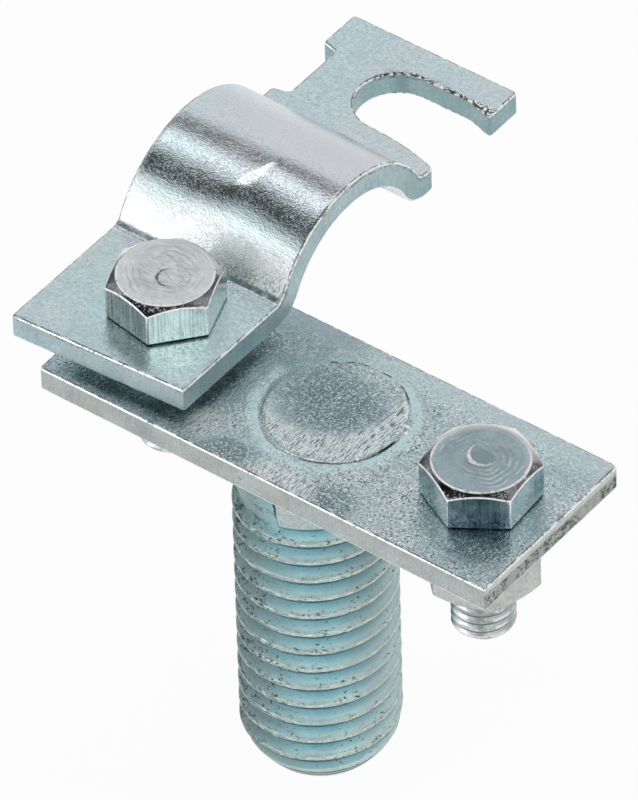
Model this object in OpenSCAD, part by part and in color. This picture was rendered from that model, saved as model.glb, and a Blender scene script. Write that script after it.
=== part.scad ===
// Swing-over clamp for a round earthing rod: a riveted stud carries a flat bar,
// and a formed strap pivots on one bolt and hooks under the head of the other.
// Millimetres. Origin on the stud's axis, where its shoulder meets the bar's
// underside. +Z points up, +X along the bar from the pivot bolt to the closing bolt.

/* [Flat bar] */
// Width of the bar
bar_w = 26.6; // [24:0.2:36]
// Thickness of the bar
bar_t = 3.4; // [2.6:0.1:4]
// Radius along the bar's rolled long edges
bar_edge_r = 0.6; // [0.2:0.1:1]
// Radius of the bar's sheared corners, seen from above
bar_corner_r = 0.6; // [0.4:0.1:4]
// Between the pivot bolt and the closing bolt
bolt_pitch = 46.9; // [46:0.1:50]
// From the pivot bolt to the bar's end
pivot_end = 9.3; // [8.5:0.1:10]
// From the closing bolt to the bar's end
closing_end = 10.3; // [8.5:0.1:14]
// Radius of the clearance holes for both bolts
hole_r = 4.5; // [4.2:0.05:4.8]

/* [Stud] */
// Radius over the thread of the stud
stud_r = 10; // [8:0.1:11]
// Length of the stud below the bar
stud_len = 50.5; // [30:0.5:80]
// Height of the bevel at the stud's lower end
stud_bevel_h = 4.7; // [1:0.1:6]
// Radius of the stud's flat lower end
stud_end_r = 7.3; // [6:0.1:7.8]
// How far the stud sits off the middle between the bolts, towards the pivot bolt
stud_shift = 1.7; // [0:0.1:3]
// How far the riveted tenon is off the stud's axis, towards the closing bolt
tenon_shift = 2.6; // [0:0.1:2.6]
// How far the riveted tenon is off the stud's axis, towards the open strap
tenon_side = 1.1; // [0:0.1:1.2]
// Radius of the tenon in the bar
tenon_r = 7; // [5:0.1:7.1]
// Radius of the spread head of the tenon
rivet_r = 9; // [8:0.1:10]
// Depth of the countersink that the head fills
rivet_sink = 1.4; // [0.5:0.1:2]
// How far the head's crown stands above the bar
rivet_crown = 0.3; // [0.1:0.05:0.6]

/* [Strap] */
// Width of the strap
strap_w = 25; // [24:0.2:30]
// Thickness of the strap
strap_t = 3.35; // [2.6:0.05:3.6]
// From the strap's mouth edge to the pivot hole
mouth_edge = 10.8; // [9:0.1:11.5]
// From the pivot hole to the tab's end, at the mouth edge
tab_end_mouth = 10.7; // [9:0.1:14]
// From the pivot hole to the tab's end, at the back edge
tab_end_back = 12.1; // [9:0.1:14]
// From the closing bolt to the fork's outer end
fork_tip = 9.2; // [8.6:0.1:12]
// How far the arch is off the middle between the bolts, towards the pivot bolt
arch_shift = 0.95; // [0.5:0.05:1.4]
// Height of the space under the arch
arch_h = 9; // [7:0.1:10]
// Radius of the rod's seat inside the arch
arch_r = 12; // [11.5:0.1:12.5]
// Radius of the crease where the arch rises from the flat ends
crease_r = 1.65; // [1:0.05:2]

/* [Fork] */
// Width of the fork's slot
slot_w = 10.8; // [10:0.1:11]
// From the slot's middle to the closing bolt's axis, towards the pivot
slot_lead = 0.9; // [0.5:0.05:1]
// Radius of the inner arm's edge, which falls away to the mouth
arm_edge_r = 34; // [30:1:60]
// Height of the retaining lip on the outer arm
lip_h = 1.1; // [0.3:0.1:1.1]
// Length of the retaining lip along the outer arm
lip_len = 3.8; // [2:0.1:5]
// Radius on the fork's outer corners
fork_corner_r = 0.5; // [0.3:0.1:2]
// Depth of the notch in the back edge
notch_d = 2.3; // [1:0.1:4]
// From the fork's outer end to the notch
notch_end = 6.3; // [4:0.1:8]
// Length of the notch along the strap
notch_len = 10.4; // [6:0.1:11]
// How much each end of the notch leans outwards
notch_lean = 0.5; // [0:0.1:1]

/* [Bolts and nuts] */
// Radius over the thread of both bolts
bolt_r = 3.95; // [3.8:0.05:4.05]
// Length of both bolts under the head
bolt_len = 21; // [19.5:0.5:25]
// Width across the flats of heads and nuts
hex_af = 13; // [12:0.1:14]
// Height of the bolt heads
head_h = 5.5; // [4.5:0.1:6.5]
// Radius of the flat circle on top of a head
head_flat_r = 5.9; // [5:0.1:6]
// Height of the nuts
nut_h = 6.5; // [5:0.1:6.8]
// Play between a nut's bore and its bolt
thread_play = 0.05; // [0.03:0.01:0.08]
// Bevel at the bolts' lower ends
bolt_bevel = 0.9; // [0.4:0.1:1.4]
// Turn of the pivot bolt's head about its axis
pivot_head_turn = 50; // [0:1:59]
// Turn of the closing bolt's head about its axis
closing_head_turn = 34; // [0:1:59]
// Turn of the closing bolt's nut about its axis
closing_nut_turn = 14; // [0:1:59]
// Turn of the pivot bolt's nut about its axis
pivot_nut_turn = 20; // [0:1:59]
// How far the slack nut hangs below the bar
nut_slack = 3.3; // [1:0.1:4]

/* [Spacer and pose] */
// Thickness of the spacer washer between the bar and the strap
washer_t = 1.6; // [1:0.1:2]
// Outer radius of the spacer washer
washer_r = 8; // [7:0.1:8.5]
// Angle by which the strap is swung open from the bar
open_angle = 90; // [60:1:90]

/* [Hidden] */
$fn = 96;
cut = 1;

// Places along the bar, from the stud's axis
pivot_x = stud_shift - bolt_pitch / 2;
closing_x = pivot_x + bolt_pitch;
bar_x = pivot_x - pivot_end;
bar_len = pivot_end + bolt_pitch + closing_end;

// The arch: one circle, and a crease circle on each side that is tangent to it and
// to the flat ends. The crease's place is rounded so that neighbours share an edge.
back_edge = strap_w - mouth_edge;
fork_end = bolt_pitch + fork_tip;
arch_s = bolt_pitch / 2 - arch_shift;
arch_z = arch_h - arch_r;
arch_out_r = arch_r + strap_t;
crease_z = strap_t + crease_r;
centre_gap = arch_out_r + crease_r;
micron = 0.001;
crease_dx = round(sqrt(pow(centre_gap, 2) - pow(crease_z - arch_z, 2)) / micron) * micron;
tab_reach = max(tab_end_mouth, tab_end_back) + cut;
slot_s = bolt_pitch - slot_lead;
slot_r = slot_w / 2;

hex_corner_r = hex_af / sqrt(3);
hex_bevel_tan = tan(30);
steel = [0.72, 0.78, 0.8];
pale_steel = [0.8, 0.85, 0.87];
dark_steel = [0.6, 0.68, 0.72];

// What is left over when a square corner is rounded: a piece to cut away
module corner_offcut(r) {
    difference() {
        translate([-cut, -cut]) square(r + cut);
        translate([r, r]) circle(r);
    }
}

module rounded_bar_section() {
    for (y = [bar_edge_r, bar_w - bar_edge_r], z = [bar_edge_r, bar_t - bar_edge_r])
        translate([y, z]) circle(bar_edge_r);
    translate([bar_edge_r, 0]) square([bar_w - 2 * bar_edge_r, bar_t]);
    translate([0, bar_edge_r]) square([bar_w, bar_t - 2 * bar_edge_r]);
}

// The tenon's outline, turned: straight through the bar and spread in its countersink
module tenon_solid(crown) {
    rotate_extrude() polygon([
        [0, 0],
        [tenon_r, 0],
        [tenon_r, bar_t - rivet_sink],
        [rivet_r, bar_t],
        [rivet_r - crown, bar_t + crown],
        [0, bar_t + crown]
    ]);
}

module base_bar() {
    color(steel) difference() {
        translate([bar_x, -bar_w / 2, 0]) rotate([90, 0, 90])
            linear_extrude(bar_len) rounded_bar_section();
        for (x = [pivot_x, closing_x])
            translate([x, 0, -cut]) cylinder(r = hole_r, h = bar_t + 2 * cut);
        translate([tenon_shift, tenon_side, 0]) {
            tenon_solid(0);
            translate([0, 0, -cut]) cylinder(r = tenon_r, h = 2 * cut);
            translate([0, 0, bar_t]) cylinder(r = rivet_r, h = cut);
        }
        translate([0, 0, -cut]) linear_extrude(bar_t + 2 * cut) {
            translate([bar_x, -bar_w / 2]) corner_offcut(bar_corner_r);
            translate([bar_x + bar_len, bar_w / 2]) rotate(180) corner_offcut(bar_corner_r);
        }
    }
}

module threaded_stud() {
    color(pale_steel) {
        rotate_extrude() polygon([
            [0, 0],
            [stud_r, 0],
            [stud_r, stud_bevel_h - stud_len],
            [stud_end_r, -stud_len],
            [0, -stud_len]
        ]);
        translate([tenon_shift, tenon_side, 0]) tenon_solid(rivet_crown);
    }
}

// Side view of the strap in the closed position: s along the bar, z up
module strap_section() {
    // Flat tab and flat fork
    translate([-tab_reach, 0]) square([tab_reach + arch_s - crease_dx, strap_t]);
    translate([arch_s + crease_dx, 0]) square([fork_end - arch_s - crease_dx, strap_t]);
    // Creases, from the flat ends to where they meet the arch
    for (side = [-1, 1]) translate([arch_s + side * crease_dx, crease_z]) intersection() {
        difference() {
            circle(crease_r + strap_t);
            circle(crease_r);
        }
        polygon([[0, 0], [0, -centre_gap], [-side * crease_dx, arch_z - crease_z]]);
    }
    // Arch, between its two tangent points
    intersection() {
        translate([arch_s, arch_z]) difference() {
            circle(arch_out_r);
            circle(arch_r);
        }
        polygon([
            [arch_s, arch_z],
            [arch_s - 2 * crease_dx, 2 * crease_z - arch_z],
            [arch_s + 2 * crease_dx, 2 * crease_z - arch_z]
        ]);
    }
}

// Plan of the strap in the closed position: the mouth edge lies towards -Y
module strap_plan() {
    difference() {
        polygon([
            [-tab_end_mouth, -mouth_edge],
            [fork_end, -mouth_edge],
            [fork_end, back_edge],
            [-tab_end_back, back_edge]
        ]);
        circle(hole_r);
        slot_plan();
        translate([fork_end - notch_end - notch_len / 2, back_edge]) polygon([
            [-notch_len / 2, cut],
            [-notch_len / 2, 0],
            [notch_lean - notch_len / 2, -notch_d],
            [notch_len / 2 - notch_lean, -notch_d],
            [notch_len / 2, 0],
            [notch_len / 2, cut]
        ]);
        translate([fork_end, -mouth_edge]) rotate(90) corner_offcut(fork_corner_r);
        translate([fork_end, back_edge]) rotate(180) corner_offcut(fork_corner_r);
    }
}

// Side-open slot: round inner end, inner arm falling away, lip at the outer arm's tip
module slot_plan() {
    translate([slot_s, 0]) circle(slot_r);
    difference() {
        polygon([
            [slot_s - 2 * slot_r, 0],
            [slot_s - 2 * slot_r, -mouth_edge - cut],
            [slot_s + slot_r - lip_h, -mouth_edge - cut],
            [slot_s + slot_r - lip_h, -mouth_edge],
            [slot_s + slot_r, lip_len - mouth_edge],
            [slot_s + slot_r, 0]
        ]);
        translate([slot_s - slot_r - arm_edge_r, 0]) circle(arm_edge_r);
    }
}

module clamp_strap() {
    color(steel) translate([pivot_x, 0, bar_t + washer_t]) rotate([0, 0, open_angle])
        intersection() {
            translate([0, back_edge, 0]) rotate([90, 0, 0])
                linear_extrude(strap_w) strap_section();
            translate([0, 0, -cut])
                linear_extrude(arch_h + strap_t + 2 * cut) strap_plan();
        }
}

// Six-sided blank with its top corners turned off at 30 degrees, and its bottom
// corners too where both is true
module hex_blank(h, flat_r, both) {
    drop = (hex_corner_r - flat_r) * hex_bevel_tan;
    low_r = both ? flat_r : hex_corner_r;
    intersection() {
        cylinder(r = hex_corner_r, h = h, $fn = 6);
        rotate_extrude() polygon([
            [0, 0],
            [low_r, 0],
            [hex_corner_r, both ? drop : 0],
            [hex_corner_r, h - drop],
            [flat_r, h],
            [0, h]
        ]);
    }
}

module hex_bolt(turn) {
    rotate([0, 0, turn]) hex_blank(head_h, head_flat_r, false);
    rotate_extrude() polygon([
        [0, -bolt_len],
        [bolt_r - bolt_bevel, -bolt_len],
        [bolt_r, bolt_bevel - bolt_len],
        [bolt_r, 0],
        [0, 0]
    ]);
}

module hex_nut(turn) {
    bore_r = bolt_r + thread_play;
    difference() {
        rotate([0, 0, turn]) hex_blank(nut_h, head_flat_r, true);
        translate([0, 0, -cut]) cylinder(r = bore_r, h = nut_h + 2 * cut);
    }
}

module pivot_bolt() {
    color(dark_steel) translate([pivot_x, 0, bar_t + washer_t + strap_t])
        hex_bolt(pivot_head_turn);
}

module pivot_nut() {
    color(pale_steel) translate([pivot_x, 0, -nut_h]) hex_nut(pivot_nut_turn);
}

module spacer_washer() {
    color(pale_steel) translate([pivot_x, 0, bar_t]) difference() {
        cylinder(r = washer_r, h = washer_t);
        translate([0, 0, -cut]) cylinder(r = hole_r, h = washer_t + 2 * cut);
    }
}

module closing_bolt() {
    color(dark_steel) translate([closing_x, 0, bar_t]) hex_bolt(closing_head_turn);
}

module closing_nut() {
    color(pale_steel) translate([closing_x, 0, -nut_slack - nut_h])
        hex_nut(closing_nut_turn);
}

base_bar();
threaded_stud();
clamp_strap();
pivot_bolt();
pivot_nut();
spacer_washer();
closing_bolt();
closing_nut();
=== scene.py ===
import math

import bmesh
import bpy
from bpy.props import FloatProperty, FloatVectorProperty, IntProperty, PointerProperty
from mathutils import Matrix, Vector, noise


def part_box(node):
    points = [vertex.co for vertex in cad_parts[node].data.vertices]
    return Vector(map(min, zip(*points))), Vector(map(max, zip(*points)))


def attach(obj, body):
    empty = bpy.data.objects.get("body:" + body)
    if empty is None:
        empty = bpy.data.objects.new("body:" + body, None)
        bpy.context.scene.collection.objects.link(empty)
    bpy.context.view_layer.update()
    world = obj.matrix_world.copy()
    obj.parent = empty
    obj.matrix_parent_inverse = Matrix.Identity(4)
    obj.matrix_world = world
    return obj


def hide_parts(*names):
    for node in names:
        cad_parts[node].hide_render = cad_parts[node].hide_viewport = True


bl_info = {
    "name": "Lightning Conductor Holder",
    "version": (1, 0, 0),
    "blender": (4, 5, 0),
    "location": "3D View > Sidebar > Holder",
    "description": "Builds a zinc-plated conductor holder around its solids",
    "category": "Object",
}

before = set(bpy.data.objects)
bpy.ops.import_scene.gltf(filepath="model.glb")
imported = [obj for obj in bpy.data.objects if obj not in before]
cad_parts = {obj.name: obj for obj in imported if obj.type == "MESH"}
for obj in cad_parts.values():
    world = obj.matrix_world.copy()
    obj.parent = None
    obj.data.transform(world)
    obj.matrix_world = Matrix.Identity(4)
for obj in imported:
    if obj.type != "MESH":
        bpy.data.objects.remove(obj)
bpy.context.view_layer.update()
MM = 0.001

BAR_LOW, BAR_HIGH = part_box("base_bar")
STRAP_LOW, STRAP_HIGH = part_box("clamp_strap")
STUD_LOW, STUD_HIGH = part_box("threaded_stud")
WASHER_LOW, WASHER_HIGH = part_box("spacer_washer")
PIVOT_LOW, PIVOT_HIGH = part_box("pivot_bolt")
CLOSING_LOW, CLOSING_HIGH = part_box("closing_bolt")
PIVOT_NUT_LOW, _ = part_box("pivot_nut")
CLOSING_NUT_LOW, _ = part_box("closing_nut")
PIVOT_X = (WASHER_LOW.x + WASHER_HIGH.x) / 2
CLOSING_X = (CLOSING_LOW.x + CLOSING_HIGH.x) / 2
STUD_AXIS = (0.0, 0.0)
FINGER_CURVE = 34 * MM
END_SLOPE = math.tan(math.radians(30))

# Dark and light grains of each finish
TONES = {
    "bar": ((0.38, 0.48, 0.52), (0.60, 0.72, 0.75)),
    "strap": ((0.49, 0.62, 0.66), (0.60, 0.74, 0.78)),
    "stud": ((0.53, 0.84, 0.88), (0.70, 0.98, 0.99)),
    "pivot_top": ((0.56, 0.60, 0.61), (0.72, 0.76, 0.77)),
    "closing_top": ((0.29, 0.37, 0.40), (0.40, 0.50, 0.54)),
    "pivot_side": ((0.50, 0.60, 0.60), (0.92, 0.95, 0.92)),
    "closing_side": ((0.24, 0.36, 0.40), (0.64, 0.76, 0.78)),
    "nut": ((0.43, 0.46, 0.45), (0.59, 0.61, 0.59)),
    "thread": ((0.32, 0.36, 0.36), (0.50, 0.54, 0.53)),
    "cut": ((0.33, 0.38, 0.37), (0.51, 0.56, 0.55)),
    "strap_cut": ((0.30, 0.42, 0.45), (0.48, 0.61, 0.64)),
}

# Patches of light and dark round the holder: direction, angles of the full and the faded
# edge in degrees, and colour. Later ones lie over earlier ones.
ROOM = (0.42, 0.42, 0.42)
ROOM_PATCHES = (
    ((-0.46, 0.76, 0.46), 20, 30, (1.00, 1.02, 1.03)),
    ((0.46, 0.58, 0.67), 18, 34, (0.75, 0.75, 0.75)),
    ((0, 1, 0.1), 35, 55, (0.85, 0.85, 0.85)),
    ((0.82, -0.38, 0.42), 22, 36, (1.90, 1.90, 1.80)),
    ((1, 0.2, 0.1), 35, 50, (0.95, 0.95, 0.95)),
    ((-0.85, -0.2, 0.5), 16, 28, (0.85, 0.85, 0.85)),
    ((-0.46, 0.31, 0.83), 8, 14, (0.10, 0.10, 0.10)),
    ((0.13, -0.18, 0.97), 19, 27, (0.10, 0.10, 0.10)),
    ((-0.458, -0.43, 0.778), 16, 22, (0.05, 0.05, 0.05)),
    ((-0.458, 0.03, 0.888), 7, 12, (1.70, 1.76, 1.78)),
    ((-0.20, 0.25, 0.945), 6, 10, (1.60, 1.60, 1.60)),
    ((0.37, -0.64, 0.67), 15, 23, (0.01, 0.065, 0.13)),
    ((-0.46, -0.90, 0.05), 38, 44, (1.22, 1.26, 1.26)),
)

# Form of one turn of a thread: share of the pitch, share of the depth
STUD_PROFILE = (
    (0.0, 0.0), (0.05, 0.0), (0.10, 0.03), (0.16, 0.13), (0.25, 0.38), (0.35, 0.68),
    (0.41, 0.87), (0.47, 0.97), (0.53, 1.0), (0.59, 0.97), (0.64, 0.86), (0.72, 0.56),
    (0.80, 0.24), (0.86, 0.05), (0.90, 0.0), (0.95, 0.0), (1.0, 0.0),
)
BOLT_PROFILE = (
    (0.0, 0.0), (0.1, 0.0), (0.2, 0.15), (0.42, 0.9), (0.5, 1.0), (0.58, 0.9), (0.8, 0.15),
    (0.9, 0.0), (1.0, 0.0),
)


def length(name, description, default, low=0.0, high=0.2):
    """A length whose default is given in millimetres."""
    return FloatProperty(name=name, description=description, default=default * MM, min=low,
                         max=high, unit="LENGTH", subtype="DISTANCE", precision=5)


def turned(name, description, degrees):
    return FloatProperty(name=name, description=description, default=math.radians(degrees),
                         unit="ROTATION", subtype="ANGLE")


def facets(name, description, default):
    return IntProperty(name=name, description=description, default=default, min=24, max=240)


def tint(name, description, default):
    return FloatVectorProperty(name=name, description=description, default=default, size=3,
                               min=0.0, max=1.0, subtype="COLOR")


class HolderSizes(bpy.types.PropertyGroup):
    """Sizes that the solids don't state by their boxes"""

    rim_radius: length("Rim radius", "Rounding along sheared and rolled edges", 0.28)
    bar_corner: length("Bar corner", "Rounding of the bar's two soft corners", 0.6)
    hole_radius: length("Hole radius", "Clearance holes for the bolts", 4.5)
    mouth_edge: length("Mouth edge", "From the pivot hole to the mouth edge", 10.8)
    tab_end: length("Tab end", "From the pivot hole to the tab's end at the mouth", 10.7)
    arch_middle: length("Arch middle", "From the pivot hole to the arch", 22.5)
    arch_radius: length("Arch radius", "Inside radius of the arch", 12)
    arch_height: length("Arch height", "Clear height under the arch", 9)
    crease_radius: length("Crease radius", "Radius where the arch starts", 1.65)
    strap_thickness: length("Strap thickness", "Thickness of the strap", 3.35)
    slot_width: length("Slot width", "Width of the fork's slot", 10.8)
    slot_middle: length("Slot middle", "From the pivot hole to the slot", 46)
    tenon_radius: length("Rivet radius", "Radius of the riveted head", 9)
    tenon_x: length("Rivet offset along", "Riveted head off the stud's axis", 2.6)
    tenon_y: length("Rivet offset across", "Riveted head off the stud's axis", 1.1)


class ThreadSizes(bpy.types.PropertyGroup):
    """Sizes of the two threads"""

    stud_radius: length("Stud radius", "Outside radius of the stud's thread", 10)
    stud_pitch: length("Stud pitch", "Rise of one turn of the stud's thread", 2.95)
    stud_depth: length("Stud depth", "Depth of the stud's thread", 1.5)
    stud_collar: length("Collar", "Level where the groove ends", 8.6)
    bevel_height: length("Bevel height", "Height of the stud's end bevel", 4.7)
    end_radius: length("End radius", "Radius of the stud's flat end", 7.3)
    bolt_pitch: length("Bolt pitch", "Rise of one turn of the bolts' thread", 1.25)
    bolt_depth: length("Bolt depth", "Depth of the bolts' thread", 0.30)
    bolt_radius: length("Bolt radius", "Outside radius of the bolts", 3.95)
    stud_steps: facets("Stud steps", "Facets round the stud", 120)
    bolt_steps: facets("Bolt steps", "Facets round a bolt", 64)


class HexSizes(bpy.types.PropertyGroup):
    """Sizes shared by the hexagon heads and nuts"""

    across_flats: length("Across flats", "Width of heads and nuts", 13)
    head_height: length("Head height", "Height of a bolt head", 5.5)
    nut_height: length("Nut height", "Height of a nut", 6.5)
    flat_radius: length("Flat radius", "Radius of the flat on a head", 5.9)
    edge_rounding: length("Edge rounding", "Rounding of the hexagon's edges", 0.12)
    pivot_turn: turned("Pivot head turn", "Turn of the pivot bolt's head", 50)
    closing_turn: turned("Closing head turn", "Turn of the closing bolt's head", 34)
    closing_nut_turn: turned("Closing nut turn", "Turn of the closing nut", 14)
    pivot_nut_turn: turned("Pivot nut turn", "Turn of the pivot nut", 20)


class ZincColours(bpy.types.PropertyGroup):
    """Colours of the bright zinc plating"""

    __annotations__ = {
        f"{finish}_{shade}": tint(f"{finish} {shade}".replace("_", " ").capitalize(),
                                  f"Colour of the {shade} grains", tone)
        for finish, pair in TONES.items()
        for shade, tone in zip(("dark", "light"), pair)
    }
    rim: tint("Rim", "Burnished edges", (0.86, 0.89, 0.89))


class StudioSettings(bpy.types.PropertyGroup):
    """Camera place and floor"""

    azimuth: turned("Azimuth", "Camera's turn round the object", 38.315)
    elevation: turned("Elevation", "Camera's height over the horizon", 42.341)
    roll: turned("Roll", "Camera's roll", -1.694)
    distance: length("Distance", "From the bar's middle to the camera", 1400, 0.1, 5.0)
    focal: FloatProperty(
        name="Focal length", description="Lens on the picture's long side", default=529.07
    )
    shift_x: length("Shift across", "Camera's place across the view", -0.946, -0.1, 0.1)
    shift_y: length("Shift up", "Camera's place up the view", 1.918, -0.1, 0.1)
    floor: tint("Floor", "Colour of the floor", (0.93, 0.93, 0.93))


def tones(colours, finish):
    """The dark and the light colour of a finish."""
    return getattr(colours, f"{finish}_dark"), getattr(colours, f"{finish}_light")


def bar_top(context):
    """The closing bolt's head stands on the bar."""
    return CLOSING_HIGH.z - context.scene.hex_sizes.head_height


# Meshes


def everything(bm):
    return bm.verts[:] + bm.edges[:] + bm.faces[:]


def only(kind, geometry):
    return [item for item in geometry if isinstance(item, kind)]


def finish_piece(name, bm, materials, body, nodes=(), sharp=32.0, even=False):
    """Turns a bmesh into a piece that rides on a body and takes a material slot. even
    keeps broad flat faces flat where their rounded rims are smooth."""
    mesh = bpy.data.meshes.new(name)
    bm.normal_update()
    for face in bm.faces:
        face.smooth = True
    bm.to_mesh(mesh)
    bm.free()
    for material in materials:
        mesh.materials.append(material)
    mesh.set_sharp_from_angle(angle=math.radians(sharp))
    piece = bpy.data.objects.new(name, mesh)
    bpy.context.scene.collection.objects.link(piece)
    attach(piece, body)
    if nodes:
        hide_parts(*nodes)
    if even:
        modifier = piece.modifiers.new("Even normals", "WEIGHTED_NORMAL")
        modifier.mode = "FACE_AREA"
        modifier.weight = 100
        modifier.keep_sharp = True


def place(bm, x, y, z, turn=0.0):
    matrix = Matrix.Translation((x, y, z)) @ Matrix.Rotation(turn, 4, "Z")
    bmesh.ops.transform(bm, matrix=matrix, verts=bm.verts[:])


def loft(bm, rings, angles, close=False):
    """Extrudes a circle from ring to ring, and caps both ends or closes the last ring on
    the first. A ring gives radius and height at an angle, and optionally the material
    index of the wall that leads to it."""

    def spot(vert):
        return tuple(round(c, 9) for c in vert.co)

    def shape(angle_of, ring):
        for vert, angle in angle_of.items():
            radius, height = ring(angle)[:2]
            vert.co = (radius * math.cos(angle), radius * math.sin(angle), height)

    made = bmesh.ops.create_circle(bm, cap_ends=False, segments=len(angles), radius=1.0)
    circle = sorted(made["verts"], key=lambda v: math.atan2(v.co.y, v.co.x) % math.tau)
    angle_of = dict(zip(circle, angles))
    shape(angle_of, rings[0])
    for ring in rings[1:]:
        edges = {e for v in angle_of for e in v.link_edges
                 if e.verts[0] in angle_of and e.verts[1] in angle_of}
        out = bmesh.ops.extrude_edge_only(bm, edges=list(edges))["geom"]
        old = {spot(vert): angle for vert, angle in angle_of.items()}
        angle_of = {vert: old[spot(vert)] for vert in only(bmesh.types.BMVert, out)}
        shape(angle_of, ring)
        for face in only(bmesh.types.BMFace, out):
            face.material_index = (*ring(0.0), 0)[2]
    if close:
        bmesh.ops.remove_doubles(bm, verts=bm.verts[:], dist=1e-7)
    else:
        bmesh.ops.contextual_create(bm, geom=circle)
        middle = (0.0, 0.0, rings[-1](0.0)[1])
        bmesh.ops.pointmerge(bm, verts=list(angle_of), merge_co=middle)
    bmesh.ops.recalc_face_normals(bm, faces=bm.faces[:])


def turned_ring(bm, lower, height, angles):
    """A nut or a washer: its lower half, the same half upside down, and closed."""

    def upside_down(ring):
        return lambda angle: (ring(angle)[0], height - ring(angle)[1])

    upper = [upside_down(ring) for ring in reversed(lower)]
    loft(bm, [*lower, *upper, lower[0]], angles, close=True)


def even_ring(radius, height, wall=0):
    """A ring with the same radius and height all round."""
    return lambda angle: (radius, height, wall)


def round_angles(count):
    return [math.tau * i / count for i in range(count)]


def hex_angles(side=16):
    """Angles round a hexagon, closer together at its corners."""
    out = []
    for face in range(6):
        for i in range(side):
            swing = math.sin(math.pi / 2 * (2 * i / side - 1))
            out.append((math.radians(60 * face + 30) + math.radians(30) * swing) % math.tau)
    return sorted(out)


def hex_radius(angle, apothem, sharpness=110):
    """Radius of a hexagon with softened corners, with corners on 0, 60, 120 degrees."""
    leans = (math.cos(angle - math.radians(60 * face + 30)) for face in range(6))
    return apothem / sum(lean**sharpness for lean in leans if lean > 0.5) ** (1 / sharpness)


def hex_shoulder(hexes, inset, drop, wall=0):
    """Ring on the edge between a hexagon's flats and the cone turned on its end. Its
    heights are measured from the end inwards."""

    def ring(angle):
        radius = hex_radius(angle, hexes.across_flats / 2)
        return radius - inset, (radius - hexes.flat_radius) * END_SLOPE + drop, wall

    return ring


def sample(profile, share):
    """Straight lines between the profile's points."""
    for (a, low), (b, high) in zip(profile, profile[1:]):
        if share <= b:
            return low + (high - low) * max(0.0, share - a) / (b - a)
    return profile[-1][1]


def threaded_shaft(bm, radius, pitch, top, bottom, steps, profile, sunk, limit):
    """One straight pitch is spun up through one turn, copied turn by turn, and pressed
    to the thread's form. sunk gives the depth at a level, a share of the pitch and an
    angle, and limit the largest radius at a level. The vertex value "hollow" keeps the
    depth, and "lip" marks a narrow band along the groove's edge."""
    lip_from, lip_to = 0.75, 0.92
    turns = math.ceil((top - bottom) / pitch) + 2
    base = bottom - pitch
    line = [bmesh.ops.create_vert(bm, co=(radius, 0.0, base + share * pitch))["vert"][0]
            for share, _ in profile]
    edges = [bm.edges.new(pair) for pair in zip(line, line[1:])]
    bmesh.ops.spin(bm, geom=line + edges, cent=(0, 0, 0), axis=(0, 0, 1),
                   dvec=(0, 0, pitch / steps), angle=math.tau, steps=steps,
                   use_merge=False, use_duplicate=False)
    one_turn = everything(bm)
    for turn in range(1, turns):
        copy = bmesh.ops.duplicate(bm, geom=one_turn)["geom"]
        bmesh.ops.translate(bm, verts=only(bmesh.types.BMVert, copy), vec=(0, 0, turn * pitch))
    bmesh.ops.remove_doubles(bm, verts=bm.verts[:], dist=pitch * 1e-3)
    for side, height in ((1, top), (-1, bottom)):
        bmesh.ops.bisect_plane(bm, geom=everything(bm), dist=1e-8, plane_co=(0, 0, height),
                               plane_no=(0, 0, side), clear_outer=True)
    hollow = bm.verts.layers.float.new("hollow")
    lip = bm.verts.layers.float.new("lip")
    for vert in bm.verts:
        angle = math.atan2(vert.co.y, vert.co.x) % math.tau
        turn = (vert.co.z - base) / pitch - angle / math.tau
        whole = math.floor(turn + 1e-6)
        level = base + pitch * (whole + angle / math.tau)
        depth = sunk(level, turn - whole, angle)
        reach = min(radius - depth, limit(vert.co.z))
        vert[hollow] = depth
        vert[lip] = 1.0 if lip_from < turn - whole < lip_to else 0.0
        vert.co.x, vert.co.y = reach * math.cos(angle), reach * math.sin(angle)
    bmesh.ops.holes_fill(bm, edges=[e for e in bm.edges if e.is_boundary], sides=0)
    bmesh.ops.recalc_face_normals(bm, faces=bm.faces[:])


def is_level(face):
    return abs(face.normal.z) > 0.5


def plate_from_outline(bm, corners, holes, thickness, rim):
    """A flat plate. A corner is x, y, its rounding and the rounding's parts; a hole is x,
    y and radius. Materials: 0 faces, 1 cut walls, 2 rims."""
    verts = [bm.verts.new((x, y, 0.0)) for x, y, _, _ in corners]
    bm.faces.new(verts)
    for vert, (_, _, radius, parts) in zip(verts, corners):
        if parts:
            bmesh.ops.bevel(bm, geom=[vert], offset=radius, offset_type="OFFSET",
                            segments=parts, profile=0.5, affect="VERTICES", material=-1)
    bmesh.ops.delete(bm, geom=bm.faces[:], context="FACES_ONLY")
    for x, y, radius in holes:
        bmesh.ops.create_circle(bm, cap_ends=False, segments=48, radius=radius,
                                matrix=Matrix.Translation((x, y, 0.0)))
    bmesh.ops.triangle_fill(bm, use_beauty=True, edges=bm.edges[:], normal=(0, 0, 1))
    bmesh.ops.recalc_face_normals(bm, faces=bm.faces[:])
    top = only(bmesh.types.BMVert, bmesh.ops.extrude_face_region(bm, geom=bm.faces[:])["geom"])
    bmesh.ops.translate(bm, verts=top, vec=(0, 0, thickness))
    bmesh.ops.recalc_face_normals(bm, faces=bm.faces[:])
    for face in bm.faces:
        face.material_index = 0 if is_level(face) else 1
    rims = [e for e in bm.edges if len(e.link_faces) == 2
            and is_level(e.link_faces[0]) != is_level(e.link_faces[1])]
    bmesh.ops.bevel(bm, geom=rims, offset=rim, offset_type="OFFSET", segments=3, profile=0.5,
                    affect="EDGES", clamp_overlap=False, material=2)
    through = bm.verts.layers.float.new("through")
    for vert in bm.verts:
        vert[through] = vert.co.z / thickness


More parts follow.
